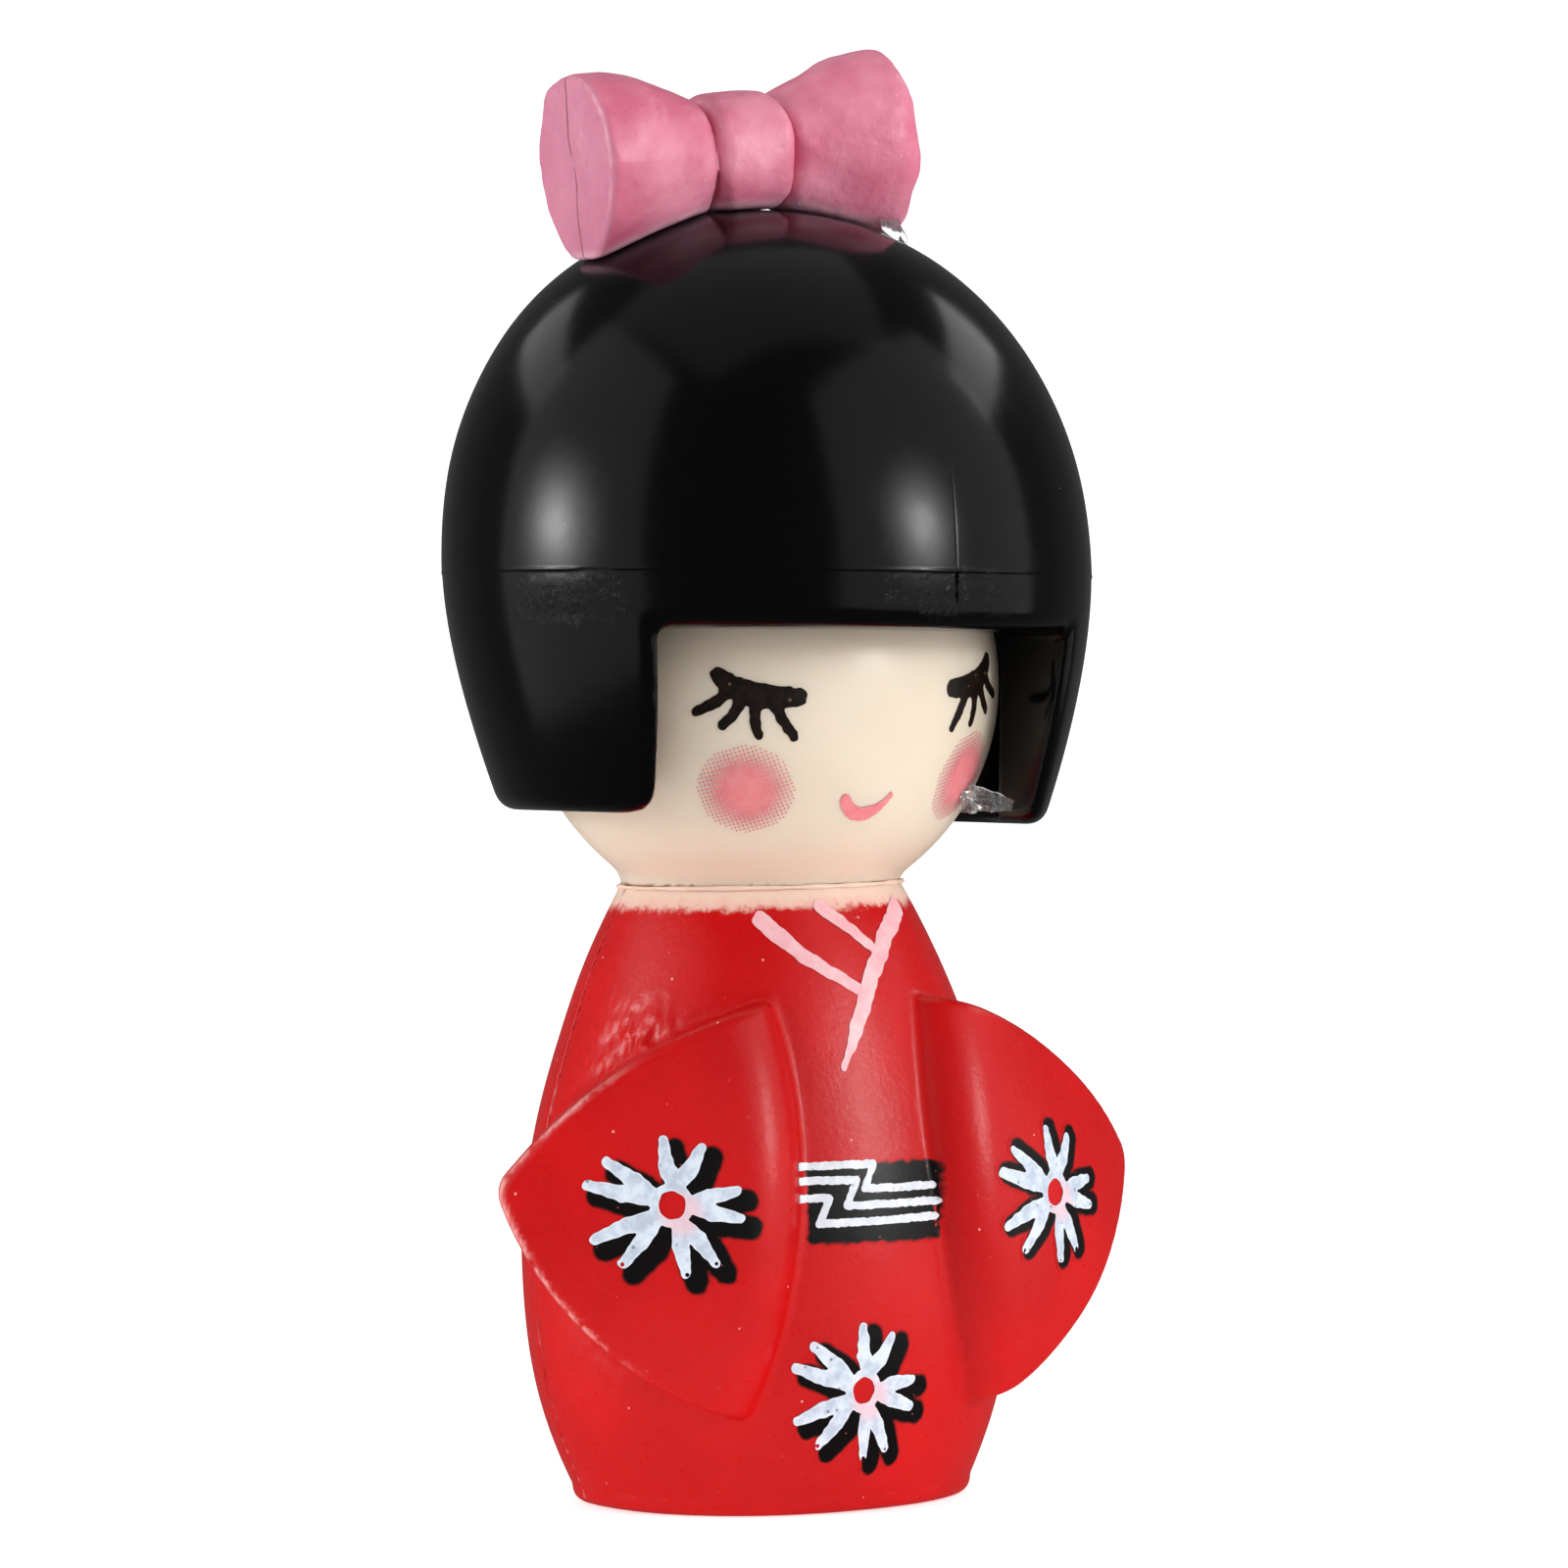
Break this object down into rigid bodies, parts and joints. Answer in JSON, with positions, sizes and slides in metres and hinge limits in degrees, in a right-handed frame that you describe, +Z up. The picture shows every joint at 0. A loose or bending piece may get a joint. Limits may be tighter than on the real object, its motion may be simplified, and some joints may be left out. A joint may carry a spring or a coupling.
{
  "type": "kokeshi doll",
  "caption": "Small kokeshi figurine with a turning round head, a bob of black hair, a pink bow and a red kimono body with folded sleeves.",
  "frame": {"origin": "centre of the flat base, on the neck's axis", "axes": "+Z up along the neck's axis, the doll faces -Y, its left hand is at +X"},
  "size_m": [0.0244, 0.0224, 0.05],
  "materials": {
    "kimono_red": "red paint over cream moulded plastic, satin gloss",
    "skin": "cream moulded plastic, satin gloss, printed face",
    "hair_black": "black moulded plastic, high gloss",
    "bow_pink": "pink moulded plastic, satin",
    "glue": "dried clear glue, slightly cloudy"
  },
  "bodies": {
    "body": {"body_front": "kimono_red", "body_back": "kimono_red"},
    "head": {"head": "skin", "hair_cap": "hair_black", "bow": "bow_pink", "bow_glue": "glue", "hair_glue": "glue"}
  },
  "joints": [
    {"name": "head_turn", "type": "hinge", "parent": "body", "child": "head", "pos_m": [0, 0, 0.0212], "axis": [0, 0, 1], "continuous": true}
  ]
}
